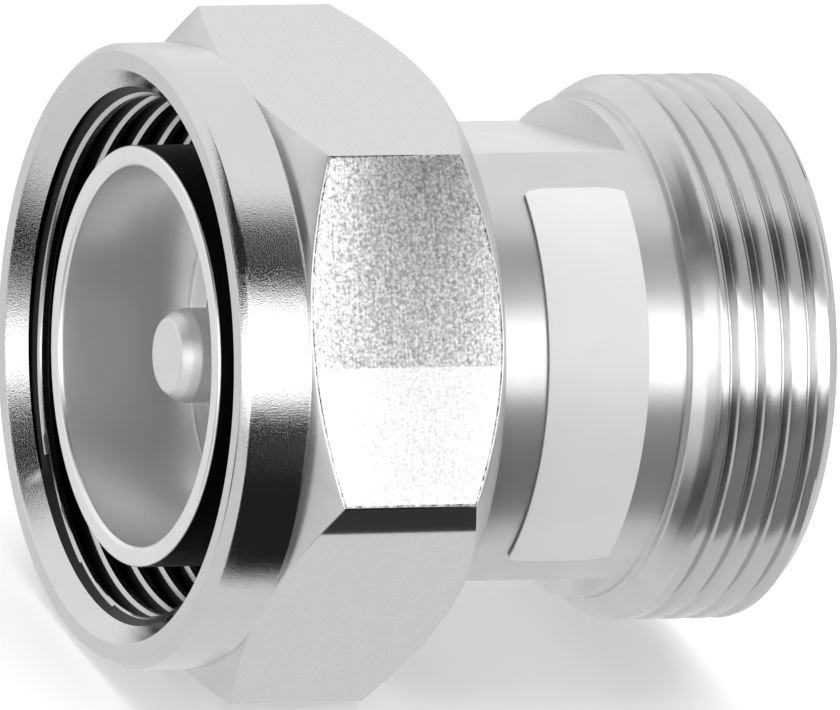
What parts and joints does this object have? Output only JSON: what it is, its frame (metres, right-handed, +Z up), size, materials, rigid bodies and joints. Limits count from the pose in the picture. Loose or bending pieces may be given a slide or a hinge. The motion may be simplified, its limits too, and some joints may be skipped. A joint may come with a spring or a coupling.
{
  "type": "coaxial connector adapter",
  "caption": "In-series coaxial adapter: a plug with a free-spinning hexagonal coupling nut at one end and an externally threaded jack at the other.",
  "frame": {"origin": "on the axis, halfway between the nut's front face and the end of the jack", "axes": "+X along the axis from the plug to the jack, +Z up with one flat of the hexagon facing down"},
  "size_m": [0.0354, 0.037, 0.033],
  "materials": {
    "white_bronze_plate": "white-bronze plated brass, turned and milled",
    "silver_plate": "silver-plated brass, smooth",
    "phosphor_bronze": "plain spring bronze",
    "silicone_rubber": "moulded, matt",
    "white_ptfe": "turned, waxy",
    "label_film": "satin polyester film"
  },
  "bodies": {
    "adapter": {"adapter_body": "white_bronze_plate", "snap_ring": "phosphor_bronze", "gasket": "silicone_rubber", "plug_outer_contact": "silver_plate", "jack_outer_contact": "silver_plate", "captive_bead": "white_ptfe", "pressed_bead": "white_ptfe", "pin_contact": "silver_plate", "socket_contact": "silver_plate", "label": "label_film"},
    "nut": {"coupling_nut": "white_bronze_plate"}
  },
  "joints": [
    {"name": "nut_spin", "type": "hinge", "parent": "adapter", "child": "nut", "pos_m": [0, 0, 0], "axis": [1, 0, 0], "continuous": true}
  ]
}
